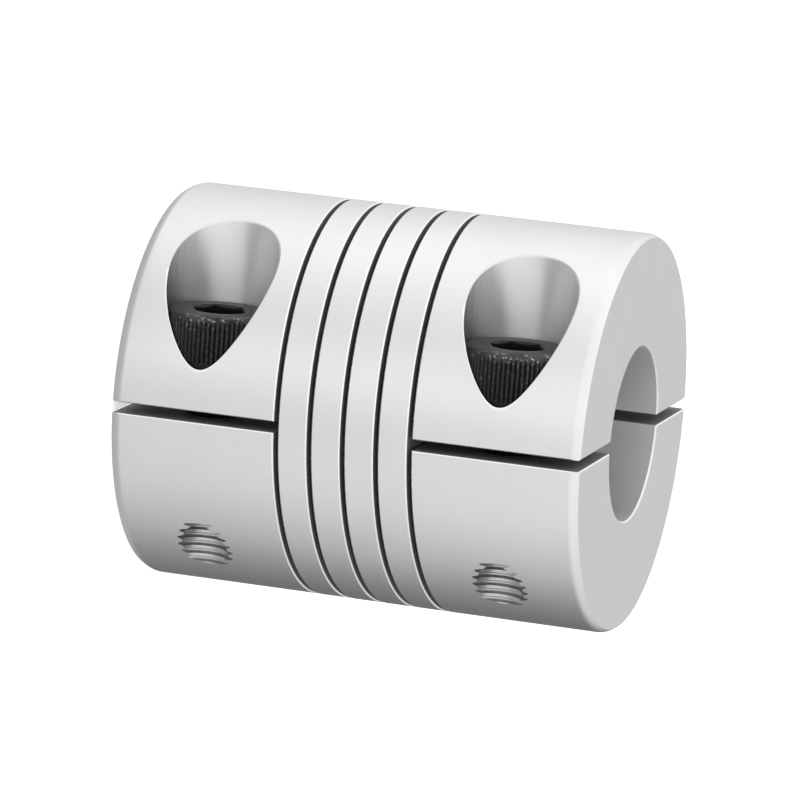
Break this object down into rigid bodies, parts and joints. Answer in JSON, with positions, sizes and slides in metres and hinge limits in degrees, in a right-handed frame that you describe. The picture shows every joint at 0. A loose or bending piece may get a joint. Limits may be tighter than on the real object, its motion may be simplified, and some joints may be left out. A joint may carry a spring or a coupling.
{
  "type": "flexible shaft coupling",
  "caption": "One-piece helical-beam clamp coupling in aluminium: slit hubs close on two shafts by black cap screws, and the coils between them bend for misalignment.",
  "frame": {"origin": "centre of the lower end face, on the shaft axis", "axes": "+Z along the shaft axis from the lower hub to the upper hub; -Y toward the side with the clamp screws; screw heads toward -X, tapped holes toward +X"},
  "size_m": [0.025, 0.025, 0.03],
  "materials": {
    "body": "fine satin, turned and lightly blasted",
    "screws": "black oxide, satin"
  },
  "bodies": {
    "root": {"coupling_body": "body", "lower_clamp_screw": "screws", "upper_clamp_screw": "screws"}
  },
  "joints": []
}
